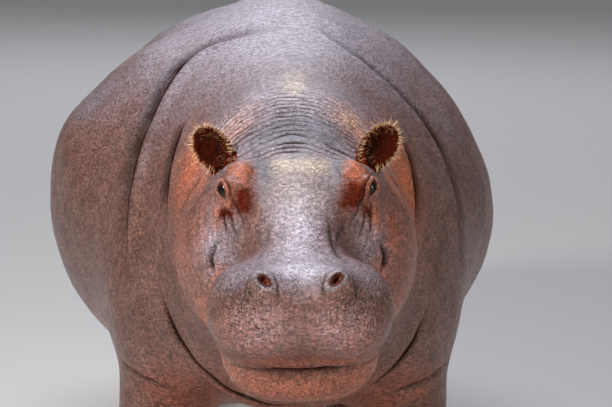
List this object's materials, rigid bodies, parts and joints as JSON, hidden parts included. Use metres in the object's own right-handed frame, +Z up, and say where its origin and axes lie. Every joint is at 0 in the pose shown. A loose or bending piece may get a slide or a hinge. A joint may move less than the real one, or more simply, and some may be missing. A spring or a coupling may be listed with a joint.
{
  "type": "hippopotamus",
  "caption": "Life-size still model of a hippopotamus standing on all fours, with wet grey-brown and pinkish skin.",
  "frame": {"origin": "middle of the floor plan of the bounding box, on the floor under the soles", "axes": "+X towards the animal's left side, +Y from the nose to the rump, so the animal faces -Y, +Z up"},
  "size_m": [1.2286, 3.3368, 1.4417],
  "materials": {
    "skin": "wet, finely wrinkled",
    "eye": "wet gloss",
    "nail": "satin horn"
  },
  "bodies": {
    "root": {"trunk": "skin", "neck": "skin", "head": "skin", "lower_jaw": "skin", "ear_left": "skin", "ear_right": "skin", "leg_front_left": "skin", "leg_front_right": "skin", "leg_hind_left": "skin", "leg_hind_right": "skin", "tail": "skin", "eye_left": "eye", "eye_right": "eye", "nail_front_left_1": "nail", "nail_front_left_2": "nail", "nail_front_left_3": "nail", "nail_front_left_4": "nail", "nail_front_right_1": "nail", "nail_front_right_2": "nail", "nail_front_right_3": "nail", "nail_front_right_4": "nail", "nail_hind_left_1": "nail", "nail_hind_left_2": "nail", "nail_hind_left_3": "nail", "nail_hind_left_4": "nail", "nail_hind_right_1": "nail", "nail_hind_right_2": "nail", "nail_hind_right_3": "nail", "nail_hind_right_4": "nail"}
  },
  "joints": []
}
